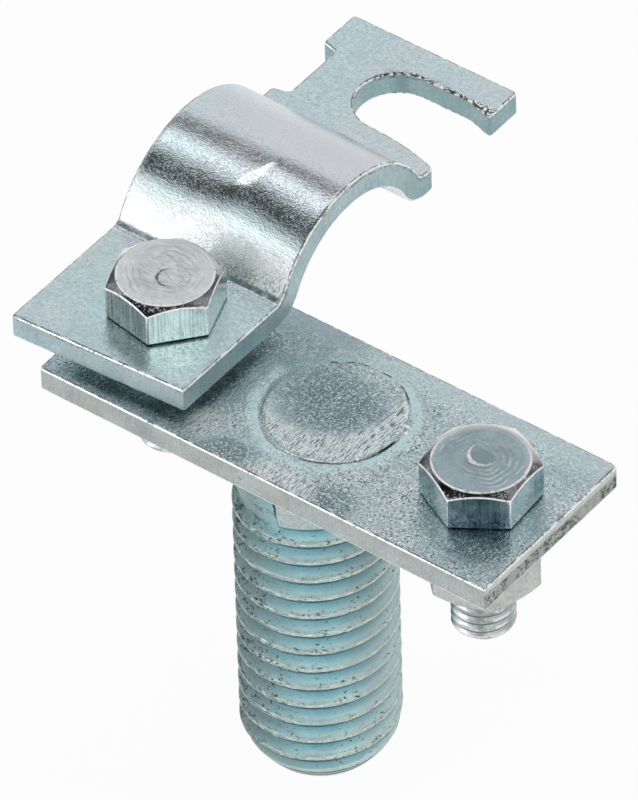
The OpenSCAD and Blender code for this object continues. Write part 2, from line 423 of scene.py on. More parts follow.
def slice_along(bm, axis, start, end, step):
    """Cuts the mesh by evenly spaced planes so that it can be bent."""
    count = max(1, round((end - start) / step))
    for i in range(count + 1):
        point, normal = Vector(), Vector()
        point[axis], normal[axis] = start + (end - start) * i / count, 1.0
        bmesh.ops.bisect_plane(bm, geom=everything(bm), dist=1e-7, plane_co=point,
                               plane_no=normal)


# Materials


class Wiring:
    """Shader nodes of one tree, and their links."""

    def __init__(self, tree):
        self.tree = tree

    def node(self, kind, output, inputs=(), **settings):
        """Adds a node, sets or links its inputs, and gives back one of its outputs."""
        node = self.tree.nodes.new(kind)
        for name, value in settings.items():
            setattr(node, name, value)
        for name, value in dict(inputs).items():
            self.link(value, node.inputs[name])
        return Amount(self, node.outputs[output])

    def link(self, value, socket):
        if isinstance(value, Amount):
            self.tree.links.new(value.socket, socket)
        else:
            socket.default_value = (*value, 1.0) if socket.type == "RGBA" else value

    def math(self, operation, a, b=0.0, c=0.0):
        return self.node("ShaderNodeMath", 0, {0: a, 1: b, 2: c}, operation=operation)

    def total(self, *pairs):
        """Adds up values, each with its own weight."""
        out = 0.0
        for value, weight in pairs:
            out = self.math("MULTIPLY_ADD", value, weight, out)
        return out


class Amount:
    """A number or colour that varies over a surface. Arithmetic on it adds nodes."""

    def __init__(self, wiring, socket):
        self.wiring, self.socket = wiring, socket

    def math(self, operation, b=0.0, c=0.0):
        return self.wiring.math(operation, self, b, c)

    def __add__(self, other):
        return self.math("ADD", other)

    def __sub__(self, other):
        return self.math("SUBTRACT", other)

    def __rsub__(self, other):
        return self.wiring.math("SUBTRACT", other, self)

    def __mul__(self, other):
        return self.math("MULTIPLY", other)

    def __truediv__(self, other):
        return self.math("DIVIDE", other)

    def __or__(self, other):
        """The larger of the two."""
        return self.math("MAXIMUM", other)

    def __abs__(self):
        return self.math("ABSOLUTE")

    def shaken(self, source, width):
        """Pushed up and down by a noise."""
        return (source - 0.5).math("MULTIPLY_ADD", width, self)

    def ramp(self, low, high, start=0.0, end=1.0, smooth=False):
        """Goes from start to end while this goes from low to high, and no further."""
        inputs = {"Value": self, "From Min": low, "From Max": high, "To Min": start, "To Max": end}
        return self.wiring.node("ShaderNodeMapRange", "Result", inputs, clamp=True,
                                interpolation_type="SMOOTHSTEP" if smooth else "LINEAR")

    def fall(self, low, high):
        return self.ramp(low, high, 1.0, 0.0)

    def blend(self, a, b):
        """Colour a where this is 0, colour b where it is 1. A mix node's colours are its
        inputs 6 and 7, and its output 2."""
        return self.wiring.node("ShaderNodeMix", 2, {"Factor": self, 6: a, 7: b},
                                data_type="RGBA")

    def between(self, a, b):
        """Number a where this is 0, number b where it is 1. A mix node's numbers are its
        inputs 2 and 3, and its output 0."""
        return self.wiring.node("ShaderNodeMix", 0, {"Factor": self, 2: a, 3: b},
                                data_type="FLOAT")


class Coat(Wiring):
    """A material in the making, whose colours are laid over each other."""

    def __init__(self, name):
        self.material = bpy.data.materials.new(name)
        self.material.use_nodes = True
        super().__init__(self.material.node_tree)
        self.shader = self.tree.nodes["Principled BSDF"]
        self.place = self.node("ShaderNodeTexCoord", "Object")
        self.x, self.y, self.z = (
            self.node("ShaderNodeSeparateXYZ", axis, {0: self.place}) for axis in "XYZ")

    def noise(self, scale, detail=2, rough=0.5, distortion=0.0, place=None):
        inputs = {"Vector": place or self.place, "Scale": scale, "Detail": detail,
                  "Roughness": rough, "Distortion": distortion}
        return self.node("ShaderNodeTexNoise", "Fac", inputs)

    def strokes(self, scale, detail, rough=0.5, distortion=0.0, turn=0.0):
        """Noise stretched along one or two axes, and turned about the upright one."""
        inputs = {"Vector": self.place, "Scale": scale, "Rotation": (0.0, 0.0, turn)}
        spread = self.node("ShaderNodeMapping", "Vector", inputs)
        return self.noise(1.0, detail, rough, distortion, spread)

    def attribute(self, name):
        return self.node("ShaderNodeAttribute", "Fac", attribute_name=name)

    def distance(self, x, y):
        """Distance from an upright line."""
        across, along = self.x - x, self.y - y
        return along.math("MULTIPLY_ADD", along, across * across).math("SQRT")

    def near(self, middle, x, y, half_x, half_y, soft):
        """1 inside an upright oval, 0 outside it. Its place is given from a middle, and
        both that place and its half widths are millimetres."""
        across = (self.x - (middle[0] + x * MM)) / (half_x * MM)
        along = (self.y - (middle[1] + y * MM)) / (half_y * MM)
        return along.math("MULTIPLY_ADD", along, across * across).fall(1.0 - soft, 1.0 + soft)

    def towards(self, x, y, degrees, start, end):
        """Grows from 0 to 1 between two distances from a place in one direction. The
        distances are millimetres."""
        heading = math.radians(degrees)
        way = self.total((self.x - x, math.cos(heading)), (self.y - y, math.sin(heading)))
        return way.ramp(start * MM, end * MM)

    def tilted(self, direction, amount):
        """The surface's own normal, tipped towards a direction of the piece."""
        turn = self.node("ShaderNodeVectorTransform", 0, {0: direction}, vector_type="VECTOR",
                         convert_from="OBJECT", convert_to="WORLD")
        tip = self.node("ShaderNodeVectorMath", 0, {0: turn, "Scale": amount}, operation="SCALE")
        normal = self.node("ShaderNodeNewGeometry", "Normal")
        added = self.node("ShaderNodeVectorMath", 0, {0: normal, 1: tip}, operation="ADD")
        return self.node("ShaderNodeVectorMath", 0, {0: added}, operation="NORMALIZE")

    def paint(self, share, colour):
        """Lays a colour over what is there."""
        self.colour = share.blend(self.colour, colour)

    def finish(self, roughness, height, depth, metal=1.0, normal=None):
        """Links up the shader. depth is the relief's depth in millimetres."""
        inputs = {"Height": height, "Strength": 1.0, "Distance": depth * MM}
        if normal is not None:
            inputs["Normal"] = normal
        relief = self.node("ShaderNodeBump", "Normal", inputs)
        for value, name in ((self.colour, "Base Color"), (roughness, "Roughness"),
                            (metal, "Metallic"), (relief, "Normal")):
            self.link(value, self.shader.inputs[name])
        return self.material


def grained_zinc(coat, pair, rough, grain, sparkle, pits, strokes=0.0, stain=0.15, size=1.0):
    """Bright zinc: cloudy tones, a fine grain that sparkles, dark pits and grinding
    strokes across the piece. size stretches the grain. Gives back the roughness, the
    height of the relief and its depth."""
    cloud = coat.noise(130, 3, 0.6)
    patch = coat.noise(480 / size, 3, 0.65)
    fine = coat.noise(3000 / size, 2, 0.7, 0.4)
    grit = coat.noise(4600 / size, 1, 0.6)
    stroke = coat.strokes((3600, 700, 3600), 2, 0.6, 0.5, turn=0.15)
    busy = coat.total((cloud, 0.5), (patch, 0.5)).ramp(0.42, 0.58)
    tone = coat.total((fine, 0.45), (patch, 0.30), (cloud, 0.25), (stroke, strokes * 0.35))
    middle = 0.5 + strokes * 0.175
    coat.colour = tone.ramp(middle - 0.07, middle + 0.07).blend(*pair)
    coat.paint(coat.noise(70).ramp(0.48, 0.72, 0.0, stain), (0.70, 0.67, 0.60))
    holes = grit.ramp(0.57, 0.64) * busy
    coat.paint(holes * pits, (0.08, 0.14, 0.18))
    chips = coat.noise(3300 / size, 1, 0.6, 0.8)
    flecks = chips.ramp(0.58, 0.64) * busy.ramp(0.0, 1.0, 0.35, 1.0)
    coat.paint(flecks * sparkle, (0.97, 0.98, 0.98))
    height = coat.total((fine, 0.9), (grit, 0.5), (stroke, strokes * 1.4), (patch, 0.9),
                        (holes, -0.5), (flecks, 0.3))
    return fine.ramp(0.3, 0.7, rough[1], rough[0]), height, 0.040 * grain


def plain_zinc(name, colours, sparkle, pits, stain):
    """Duller zinc for nuts and washers."""
    coat = Coat(name)
    return coat.finish(*grained_zinc(coat, tones(colours, "nut"), (0.3, 0.45), 0.7, sparkle,
                                     pits, stain=stain))


def riveted_zinc(name, colours, sizes):
    """The bar's zinc: hammered round the riveted head, with a smooth trough and a crack
    at the head's edge, and rubbed or dull in a few places."""
    coat = Coat(name)
    head, radius = (sizes.tenon_x, sizes.tenon_y), sizes.tenon_radius
    roughness, height, depth = grained_zinc(coat, tones(colours, "bar"), (0.18, 0.32), 1.6, 1.0,
                                            0.95, 0.5, 0.12, 1.25)
    away = coat.distance(*head).shaken(coat.noise(260, 3), 0.9 * MM)
    stroke = coat.strokes((6800, 800, 6800), 3, 0.65, 0.4, turn=0.15)
    inside = away.fall(radius - 0.6 * MM, radius)
    crescent = inside - inside * coat.near(head, -2.6, 3.0, 8.2, 8.2, 0.15)
    rubbed = crescent | (coat.near(STUD_AXIS, 4.2, -12.6, 5.0, 2.6, 0.6)
                         | coat.near(STUD_AXIS, -9.0, -9.5, 2.5, 2.5, 0.8))
    struck = stroke.ramp(0.41, 0.49).blend((0.13, 0.23, 0.27), (0.94, 1.0, 1.0))
    coat.paint(rubbed * 0.95, struck)
    dull = (coat.near(STUD_AXIS, -3.2, -11.8, 3.6, 1.9, 0.7)
            | coat.near(STUD_AXIS, 11.5, -11.6, 3.2, 2.2, 0.7)
            | coat.near(head, -1.0, 1.0, 6.6, 5.0, 0.7))
    dull = dull * coat.noise(3000, 2, 0.7).ramp(0.46, 0.54) * (1.0 - rubbed)
    coat.paint(dull * 0.75, (0.10, 0.17, 0.21))
    trough = (away.ramp(radius - 0.1 * MM, radius + 0.3 * MM)
              * away.fall(radius + 1.1 * MM, radius + 2.0 * MM)
              * coat.noise(420).ramp(0.36, 0.52, 0.5, 1.0))
    coat.paint(trough * 0.8, (0.56, 0.73, 0.74))
    back = coat.y.ramp(8.5 * MM, 11.5 * MM)
    coat.paint(back * 0.6, (0.52, 0.62, 0.64))
    front, rear = coat.towards(*head, -38, 6.3, 7.2), coat.towards(*head, 95, 5.5, 6.5)
    crack = abs(away - radius).fall(0.05 * MM, 0.13 * MM) * (
        front | rear * coat.noise(520, 3).ramp(0.44, 0.52))
    coat.paint(crack * 0.9, (0.05, 0.06, 0.06))
    # Painted highlight: the burr is painted near white as well as raised in the relief
    burr_highlight = (coat.near(head, 8.5, 2.0, 0.6, 1.9, 0.5)
            * coat.noise(1500, 2, 0.7).ramp(0.42, 0.54))
    coat.paint(burr_highlight, (0.96, 0.96, 0.90))
    height = height * (trough | back).ramp(0.0, 1.0, 1.0, 0.25)
    height = coat.total((height, 1.0), (rubbed * stroke, 2.2), (dull, -0.8), (burr_highlight, 5.0),
                        (crack, -2.0))
    return coat.finish(roughness, height, depth)


def sheared_wall(name, pair, torn_low, torn_high, torn_amount, torn_from=None, shade_from=None):
    """A sheared wall: faint lines through the sheet, and a torn band of dark specks.
    The vertex value "through" is 0 at the sheet's underside and 1 at its top. The band
    starts at torn_from along X, and painted shade darkens the wall along Y from the last
    argument, where they are given."""
    coat = Coat(name)
    lines = coat.strokes((2400, 2400, 260), 2, 0.6)
    cloud = coat.noise(260, 3)
    fine = coat.noise(3000, 3, 0.7)
    grit = coat.noise(1700, 3, 0.7)
    tone = coat.total((lines, 0.2), (cloud, 0.35), (fine, 0.45))
    coat.colour = tone.ramp(0.40, 0.60).blend(*pair)
    coat.paint(coat.noise(420, 3).ramp(0.50, 0.66, 0.0, 0.4), (0.50, 0.48, 0.43))
    # Painted shade, darker along Y
    if shade_from is not None:
        coat.paint(coat.y.ramp(shade_from, shade_from + 6 * MM, 0.0, 0.45), (0.18, 0.33, 0.35))
    through = coat.attribute("through")
    wander = coat.total((through, 1.0), (cloud, 0.5), (coat.noise(900), 0.3))
    band = (wander.ramp(torn_low + 0.38, torn_low + 0.42)
            * wander.fall(torn_high + 0.38, torn_high + 0.42))
    if torn_from is not None:
        end = coat.x.ramp(torn_from, torn_from + 0.3 * MM)
        band = band * end
        edge = coat.total((through, 1.0), (coat.noise(700, 3, 0.7), 0.35))
        coat.paint(end * 0.6, (0.30, 0.31, 0.29))
        coat.paint(end * edge.ramp(0.84, 0.93) * 0.5, (0.84, 0.85, 0.82))
    coarse = coat.noise(1000, 4, 0.8)
    torn = ((grit | coarse).ramp(0.53, 0.56) * band
            * coat.noise(330, 3, 0.65).ramp(0.44, 0.49))
    coat.paint(torn * torn_amount, (0.02, 0.025, 0.025))
    coat.paint(grit.ramp(0.64, 0.70) * cloud.ramp(0.52, 0.60) * 0.7, (0.08, 0.09, 0.08))
    height = coat.total((lines, 0.3), (fine, 0.7), (torn, -1.5))
    return coat.finish(fine.ramp(0.3, 0.7, 0.48, 0.32), height, 0.03)


def burnished_rim(name, light, jagged=None):
    """Edges rubbed bright and painted lighter as their highlight, with a thin dark line where
    the top face starts. The vertex value "through" is 1 at the sheet's top. jagged is an
    oval, as near takes it, where the edge is torn."""
    coat = Coat(name)
    nick = coat.noise(2600, 2, 0.7)
    long_nick = coat.noise(700, 3, 0.7)
    mixed = coat.total((nick, 0.6), (long_nick, 0.4))
    # Burnished zinc, painted lighter as the edges' highlight
    coat.colour = mixed.ramp(0.52, 0.60).blend(light, (0.34, 0.38, 0.38))
    line = coat.attribute("through").ramp(0.975, 0.992) * long_nick.ramp(0.42, 0.50)
    coat.paint(line * 0.8, (0.16, 0.14, 0.12))
    if jagged:
        tear = coat.near(*jagged, 0.2)
        bite = coat.noise(1500, 3, 0.75)
        coat.paint(tear, bite.ramp(0.46, 0.54).blend((0.97, 0.97, 0.94), (0.08, 0.10, 0.10)))
        mixed = coat.total((mixed, 1.0), (tear * bite, 2.0))
    return coat.finish(nick.ramp(0.3, 0.7, 0.25, 0.5), mixed, 0.08)


def strap_zinc(colours, sizes):
    """Satin zinc whose grain opens up on the outside of the bend. The vertex value
    "peel" is how far the grain has opened. Past a pressed line the arch leans."""
    coat = Coat("strap zinc")
    roughness, height, depth = grained_zinc(coat, tones(colours, "strap"), (0.22, 0.32), 0.6,
                                            0.12, 0.15, 0.15, 0.12, 1.5)
    peel = coat.attribute("peel")
    dots = (coat.noise(2900, 2, 0.7).ramp(0.62, 0.68)
            * coat.noise(160, 3).ramp(0.48, 0.58))
    coat.paint(dots * 0.6, (0.10, 0.12, 0.13))
    # Angle round the arch, from its crest towards the tab
    arch_z = STRAP_LOW.z + sizes.arch_height - sizes.arch_radius
    turn = (sizes.arch_middle - coat.y).math("ARCTAN2", coat.z - arch_z)

    def round_arch(start, end, low=0.0, high=1.0):
        return turn.ramp(math.radians(start), math.radians(end), low, high)

    crest = (round_arch(-72, -50) * round_arch(8, 22, 1.0, 0.0)
             * coat.x.ramp(PIVOT_X - 13 * MM, PIVOT_X - 2 * MM, 0.45, 1.0))
    coat.paint(crest * 0.8, (0.70, 0.69, 0.73))
    coat.paint((peel - crest * 0.6) * 0.7, (0.70, 0.76, 0.78))
    # Painted highlight: near white low on the arch's outside
    coat.paint(round_arch(40, 50) * peel * 0.9, (0.97, 0.99, 0.99))
    sand = (coat.noise(2600, 3, 0.7).ramp(0.50, 0.60) * round_arch(52, 62)
            * coat.x.ramp(PIVOT_X - 4 * MM, PIVOT_X + 4 * MM) * coat.y.ramp(7.8 * MM, 8.4 * MM))
    coat.paint(sand * 0.6, (0.24, 0.24, 0.21))
    # Painted shade in the crease, and a painted highlight where the tab starts
    shading_noise = coat.noise(700, 3)
    fold = coat.y.shaken(shading_noise, 0.5 * MM)
    top_side = coat.z.ramp(STRAP_LOW.z + 3.0 * MM, STRAP_LOW.z + 3.2 * MM)
    crease_shade = fold.ramp(7.95 * MM, 8.15 * MM) * top_side * fold.fall(8.55 * MM, 8.80 * MM)
    crease_highlight = fold.ramp(7.30 * MM, 7.45 * MM) * top_side * fold.fall(7.75 * MM, 7.95 * MM)
    coat.paint(crease_shade * shading_noise.ramp(0.35, 0.55, 0.45, 0.9), (0.05, 0.14, 0.16))
    coat.paint(crease_highlight * 0.7, (0.92, 0.96, 0.97))
    roughness = peel.between(roughness, round_arch(40, 48).ramp(0.0, 1.0, 0.09, 0.12))
    # Past the pressed line the arch leans a few degrees more towards the tab, and on the
    # line it mirrors the room's brightest patch
    line = turn.math("MULTIPLY_ADD", -6.9 * MM, -20.1 * MM)
    past = (coat.x - (line + 0.45 * MM)) / round_arch(20, 44, 0.5 * MM, 6.0 * MM)
    past = past.ramp(-1.0, 1.0, smooth=True)
    off = (coat.x - line) / round_arch(6, 26, 0.5 * MM, 1.3 * MM)
    streak = (off.ramp(-0.45, -0.1) * off.fall(0.3, 1.6) * peel * round_arch(3, 8)
              * round_arch(23, 27, 1.0, 0.0))
    fade = coat.x.ramp(-20.0 * MM, -11.0 * MM, 1.0, 0.45)
    lean = past * fade * peel * round_arch(0, 10) * 0.13
    lean = streak.between(lean, math.radians(19) - turn)
    downhill = coat.node("ShaderNodeCombineXYZ", 0, {"Y": turn.math("COSINE") * -1.0,
                                                     "Z": turn.math("SINE") * -1.0})
    # Orange peel, coarse low on the arch
    coarser = round_arch(37, 47, 1.0, 4.0) * streak.ramp(0.0, 0.6, 1.0, 0.15)
    orange = coat.total((coat.noise(5200, 2, 0.6, 0.15), 1.30),
                        (coat.noise(8000, 1), 0.7)) - 1.0
    height = coat.total((height, 1.0), (orange * peel * coarser, 1.0))
    # Faint pink and green clouds of the plating
    coat.paint(coat.noise(60, 3).ramp(0.47, 0.62, 0.0, 0.30), (0.70, 0.67, 0.70))
    coat.paint(coat.noise(85, 3).ramp(0.50, 0.64, 0.0, 0.28), (0.50, 0.72, 0.69))
    # The slot's far edge is torn and glitters
    inward = (coat.x - PIVOT_X).math("MINIMUM", 0.0)
    along = coat.y - sizes.slot_middle
    edge = along.math("MULTIPLY_ADD", along, inward * inward).math("SQRT") - sizes.slot_width / 2
    bite = coat.noise(1500, 3, 0.75)
    near_edge = (edge.shaken(bite, 0.8 * MM).fall(0.35 * MM, 0.50 * MM)
                 * along.ramp(2.0 * MM, 4.0 * MM)
                 * coat.x.ramp(PIVOT_X - 4.0 * MM, PIVOT_X - 1.0 * MM))
    torn = coat.noise(2400).ramp(0.46, 0.54).blend((0.10, 0.11, 0.11), (0.97, 0.97, 0.94))
    coat.paint(near_edge, torn)
    height = coat.total((height, 1.0), (near_edge * bite, 3.0))
    # Painted highlight: the pressed line is whitened too
    coat.paint(streak * 0.8, (0.98, 0.98, 0.98))
    return coat.finish(roughness, height, depth, normal=coat.tilted(downhill, lean))


def stud_zinc(colours):
    """Matt zinc on the stud's thread: painted shade gives a darker cyan by the root, paler up
    the flank, a thin worn crest, and a painted shadow in the root and along the groove's
    edge. The vertex value "hollow" is the depth below the crest, and "lip" is 1 along the
    groove's edge."""
    coat = Coat("stud zinc")
    hollow = coat.attribute("hollow")
    cloud = coat.noise(140, 3, 0.6)
    fine = coat.noise(2400, 3, 0.7)
    grit = coat.strokes((1700, 1700, 4600), 3, 0.7)
    edge = coat.noise(800, 3, 0.7)
    ragged = hollow.shaken(edge, 0.5 * MM)
    crest = ragged.fall(0.0, 0.14 * MM)
    root = hollow.ramp(1.22 * MM, 1.38 * MM)
    mottled = coat.total((fine, 0.35), (cloud, 0.65)).ramp(0.38, 0.62)
    coat.colour = mottled.blend((0.35, 0.46, 0.44), (0.56, 0.69, 0.66))
    coat.paint(ragged.ramp(0.0, 0.35 * MM), mottled.blend(*tones(colours, "stud")))
    # Painted shade: the cyan darkens deeper in the groove
    shaded_cyan = mottled.blend((0.25, 0.54, 0.64), (0.36, 0.71, 0.81))
    coat.paint(hollow.ramp(0.50 * MM, 1.20 * MM), shaded_cyan)
    # Painted shade darkens the left side; greyer on the right and low down
    lean = coat.total((coat.x, 0.62), (coat.y, 0.78))
    left = lean.ramp(-4.0 * MM, -9.0 * MM)
    right = coat.total((coat.x, 0.9), (coat.y, 0.44)).ramp(4.0 * MM, 8.5 * MM)
    low = coat.z.ramp(-45.5 * MM, -48.5 * MM)
    coat.paint(left * 0.85, (0.17, 0.25, 0.25))
    coat.paint((right | low) * 0.5, (0.45, 0.51, 0.49))
    dirty = left * cloud.ramp(0.36, 0.54, 0.35, 1.0)
    by_crest = ragged.fall(0.10 * MM, 0.45 * MM)
    soot = (coat.total((grit, 1.0), (dirty, 0.05), (by_crest, 0.05)).ramp(0.62, 0.65)
            * (cloud.ramp(0.42, 0.56) | dirty))
    blots = (coat.noise(620, 5, 0.8).ramp(0.545, 0.575) * lean.ramp(-6.5 * MM, -8.5 * MM)
             * coat.noise(170).ramp(0.46, 0.56))
    soot = soot | blots
    coat.paint(soot * 0.95, (0.02, 0.03, 0.03))
    glint = coat.strokes((900, 900, 5200), 3, 0.7).ramp(0.56, 0.60)
    coat.paint(glint * hollow.fall(0.0, 0.05 * MM) * 0.7, (0.95, 0.93, 0.87))
    # Painted shadow along the groove's edge under the crest
    lip = coat.attribute("lip").ramp(0.1, 0.65) * edge.ramp(0.34, 0.46, 0.6, 1.0)
    coat.paint(lip * 0.97, (0.03, 0.03, 0.03))
    # Painted shade in the root
    coat.paint(root * 0.85, (0.03, 0.04, 0.04))
    collar = coat.z.ramp(-8.9 * MM, -8.4 * MM) * hollow.fall(0.05 * MM, 0.3 * MM)
    coat.paint(collar * 0.85, fine.ramp(0.4, 0.6).blend((0.38, 0.46, 0.46), (0.52, 0.60, 0.59)))
    # A crack runs up the collar in front
    tear = (abs(coat.x.shaken(edge, 1.6 * MM) - 1.7 * MM).fall(0.12 * MM, 0.24 * MM)
            * coat.y.fall(-9.0 * MM, -8.5 * MM) * coat.z.ramp(-8.7 * MM, -8.5 * MM))
    coat.paint(tear, (0.03, 0.03, 0.02))
    height = coat.total((fine, 0.5), (grit, 0.4), (soot, -0.8), (crest * edge, 1.0),
                        (tear, -2.0))
    return coat.finish(crest.ramp(0.0, 1.0, 0.46, 0.30), height, 0.03,
                       crest.ramp(0.0, 1.0, 0.35, 0.8))


def brushed_hexagon(name, pair, x, streaked):
    """Drawn flats with streaks along the bolt's axis and rubbed corners. streaked is
    the streaks' share against plain clouds."""
    coat = Coat(name)
    streak = coat.strokes((4200, 4200, 150), 2, 0.6)
    cloud = coat.noise(260)
    grit = coat.noise(3600, 2, 0.7)
    tone = coat.total((streak, streaked), (cloud, 1.0 - streaked))
    coat.colour = tone.ramp(0.42, 0.58).blend(*pair)
    coat.paint(grit.ramp(0.62, 0.70) * cloud.ramp(0.45, 0.6) * 0.6, (0.95, 0.96, 0.96))
    corner = coat.distance(x, 0.0).ramp(7.32 * MM, 7.40 * MM)
    coat.paint(corner * grit.ramp(0.4, 0.5), (0.95, 0.96, 0.95))
    height = coat.total((streak, 0.7), (grit, 0.25))
    return coat.finish(streak.ramp(0.3, 0.7, 0.10, 0.22), height, 0.010)


def bolt_thread_zinc(name, pair):
    """Zinc on the bolts' thread, with a painted shade along the root and a painted shine on
    the crest. The vertex value "hollow" is the depth below the crest."""
    coat = Coat(name)
    hollow = coat.attribute("hollow")
    fine = coat.noise(2600, 3, 0.7)
    cloud = coat.noise(420, 3, 0.6)
    tone = coat.total((fine, 0.5), (cloud, 0.5))
    coat.colour = tone.ramp(0.38, 0.62).blend(*pair)
    shine = hollow.fall(0.02 * MM, 0.08 * MM) * cloud.ramp(0.46, 0.54)
    coat.paint(shine * 0.6, (0.90, 0.91, 0.90))
    # Painted shade along the root
    coat.paint(hollow.ramp(0.24 * MM, 0.30 * MM) * 0.6, (0.08, 0.09, 0.09))
    return coat.finish(fine.ramp(0.3, 0.7, 0.42, 0.30), tone, 0.03)


def pressed_bevel(name, x):
    """Smooth turned-off top of a hexagon: painted dark in front and pale behind as the
    reflections it shows, with a few white scratches."""
    coat = Coat(name)
    cloud = coat.noise(300, 3)
    specks = coat.noise(3600, 2, 0.7).ramp(0.58, 0.62) * cloud.ramp(0.44, 0.56)
    coat.colour = cloud.ramp(0.4, 0.6).blend((0.10, 0.10, 0.11), (0.26, 0.27, 0.28))
    # Painted reflection: pale towards the back, over the dark painted in front
    coat.paint(coat.towards(x, 0, 118, 0.3, 3.2), (0.72, 0.72, 0.73))
    coat.paint(specks * 0.7, (0.95, 0.95, 0.95))
    height = coat.total((cloud, 1.0), (specks, 1.2))
    return coat.finish(cloud.ramp(0.3, 0.7, 0.10, 0.16) | specks * 0.5, height, 0.012)


def shaded_seam(name):
    """Painted shade: black in the narrow gap under a head."""
    coat = Coat(name)
    shading_noise = coat.noise(900, 3, 0.6)
    coat.colour = shading_noise.ramp(0.5, 0.7).blend((0.015, 0.02, 0.02), (0.10, 0.18, 0.18))
    return coat.finish(shading_noise.ramp(0.3, 0.7, 0.9, 0.6), shading_noise, 0.02, 0.0)


def highlit_edge(name, x):
    """Thin line along a head's edges, painted bright as its highlight, brightest in front."""
    coat = Coat(name)
    nick = coat.noise(1600, 2, 0.6)
    coat.colour = nick.ramp(0.56, 0.66).blend((0.98, 0.98, 0.97), (0.55, 0.56, 0.56))
    # The painted highlight fades towards the back
    coat.paint(coat.towards(x, 0, 118, 0, 3.5), (0.66, 0.67, 0.68))
    return coat.finish(nick.ramp(0.3, 0.7, 0.3, 0.4), nick, 0.01, 0.30)


def turned_top(name, pair, x, mark, middle):
    """Pressed face of a head: rings round its middle and one crescent mark. mark holds
    the crescent's colour and its two circles, each as x, y and radius from the head's
    middle in millimetres; middle says how dark the middle is."""
    coat = Coat(name)
    cloud = coat.noise(520, 3, 0.6)
    fine = coat.noise(2600, 3, 0.7)
    away = coat.distance(x, 0.0)
    wave = away.math("MULTIPLY_ADD", 7600.0, coat.noise(240) * 14.0).math("SINE")
    broken = coat.noise(330).ramp(0.42, 0.54) * away.ramp(2.0 * MM, 3.4 * MM, middle, 1.0)
    tone_of_mark, (ax, ay, ar), (bx, by, br) = mark
    outer = coat.distance(x + ax * MM, ay * MM).shaken(cloud, 0.5 * MM)
    inner = coat.distance(x + bx * MM, by * MM).shaken(cloud, 0.5 * MM)
    dent = (outer.fall((ar - 0.06) * MM, (ar + 0.06) * MM)
            * inner.ramp((br - 0.06) * MM, (br + 0.06) * MM)
            * coat.noise(1300).ramp(0.36, 0.50, 0.25, 1.0))
    arcs = wave.ramp(0.55, 0.98) * coat.noise(420).ramp(0.48, 0.56) * broken
    grooves = wave.ramp(-0.35, -0.95) * broken * away.fall(5.0 * MM, 5.4 * MM)
    scratch = scratches(coat) * away.fall(3.0 * MM, 4.6 * MM)
    tone = coat.total((cloud, 0.5), (fine, 0.5))
    coat.colour = tone.ramp(0.36, 0.64).blend(*pair)
    coat.paint(away.ramp(1.2 * MM, 2.2 * MM, middle, 0.0), (0.20, 0.26, 0.30))
    coat.paint(arcs * 0.45, (0.93, 0.94, 0.94))
    coat.paint(grooves * 0.35, (0.22, 0.25, 0.27))
    coat.paint(scratch * 0.45, (0.30, 0.31, 0.32))
    # Painted highlight: a pale rim on the back of the face
    lip = away.ramp(5.0 * MM, 5.6 * MM) * coat.towards(x, 0, 110, -1, 4)
    coat.paint(lip * 0.5, (0.86, 0.88, 0.88))
    coat.paint(dent * 0.85, tone_of_mark)
    height = coat.total((cloud, 0.35), (fine, 0.2), (wave * broken, 0.30), (dent, -3.0),
                        (scratch, -0.7))
    return coat.finish(cloud.ramp(0.3, 0.7, 0.32, 0.26), height, 0.014)


def scratches(coat):
    """Short thin lines in three directions."""
    lines = [coat.strokes((600, 4200, 600), 1, turn=turn).ramp(0.62, 0.68)
             for turn in (0.4, 1.5, 2.5)]
    return lines[0] | lines[1] | lines[2]


# Operators


class HOLDER_OT_flat_bar(bpy.types.Operator):
    """Flat bar with rolled long edges, sheared ends and two bolt holes"""

    bl_idname = "holder.flat_bar"
    bl_label = "Flat Bar"

    def execute(self, context):
        sizes, colours = context.scene.holder_sizes, context.scene.zinc_colours
        soft, crisp = (sizes.bar_corner, 5), (0.3 * MM, 2)
        corners = [
            (BAR_LOW.x, BAR_LOW.y, *soft), (BAR_HIGH.x, BAR_LOW.y, *crisp),
            (BAR_HIGH.x, BAR_HIGH.y, *soft), (BAR_LOW.x, BAR_HIGH.y, *crisp),
        ]
        holes = [(x, 0.0, sizes.hole_radius) for x in (PIVOT_X, CLOSING_X)]
        bm = bmesh.new()
        plate_from_outline(bm, corners, holes, bar_top(context), sizes.rim_radius)
        materials = [
            riveted_zinc("bar zinc", colours, sizes),
            sheared_wall("bar cut", tones(colours, "cut"), 0.10, 0.66, 0.98,
                         BAR_HIGH.x - 0.25 * MM),
            burnished_rim("bar rim", colours.rim),
        ]
        finish_piece("flat_bar", bm, materials, "base", ["base_bar"], even=True)
        return {"FINISHED"}


